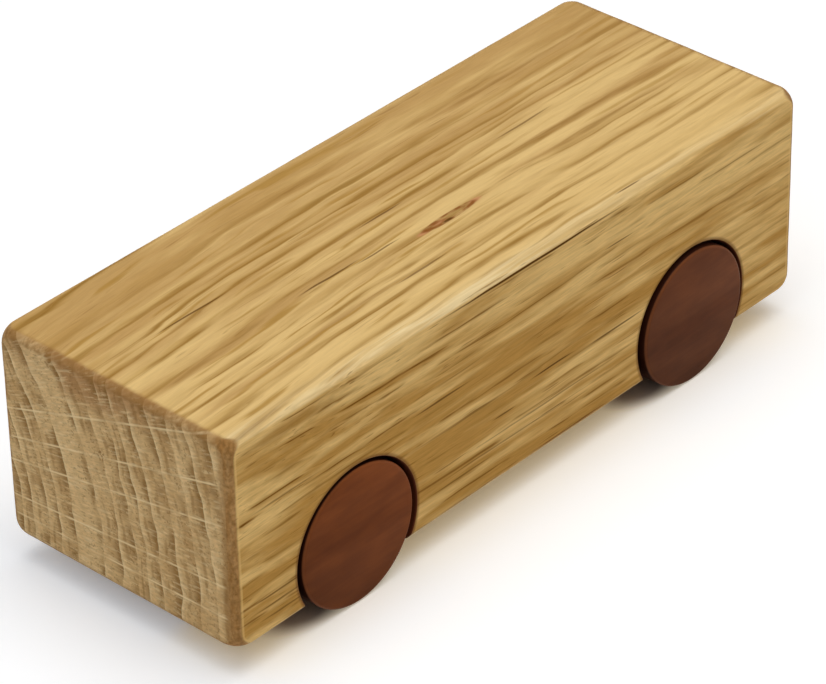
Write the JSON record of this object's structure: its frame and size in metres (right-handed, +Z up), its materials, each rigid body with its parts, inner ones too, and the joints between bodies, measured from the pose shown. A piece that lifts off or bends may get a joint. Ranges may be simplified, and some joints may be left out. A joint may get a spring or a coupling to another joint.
{
  "type": "wooden toy car",
  "caption": "Solid oak block toy car with eased edges, rolling on dark round wooden wheels set in open-bottomed pockets and glued to through dowel axles.",
  "frame": {"origin": "on the floor that the wheels stand on, under the middle of the block", "axes": "+X to the front end of the car along its length, +Y to the car's left side along the axles, +Z up"},
  "size_m": [0.14, 0.0526, 0.0452],
  "materials": {
    "oak_block": "planed and sanded oak, oiled satin",
    "dark_wheel_wood": "dark red-brown hardwood, sanded smooth, oiled satin",
    "dowel_wood": "plain pale hardwood dowel"
  },
  "bodies": {
    "body": {"body_block": "oak_block"},
    "front_wheelset": {"front_axle": "dowel_wood", "front_left_wheel": "dark_wheel_wood", "front_right_wheel": "dark_wheel_wood"},
    "rear_wheelset": {"rear_axle": "dowel_wood", "rear_left_wheel": "dark_wheel_wood", "rear_right_wheel": "dark_wheel_wood"}
  },
  "joints": [
    {"name": "front_roll", "type": "hinge", "parent": "body", "child": "front_wheelset", "pos_m": [0.042, 0, 0.013], "axis": [0, 1, 0], "continuous": true},
    {"name": "rear_roll", "type": "hinge", "parent": "body", "child": "rear_wheelset", "pos_m": [-0.042, 0, 0.013], "axis": [0, 1, 0], "continuous": true}
  ]
}
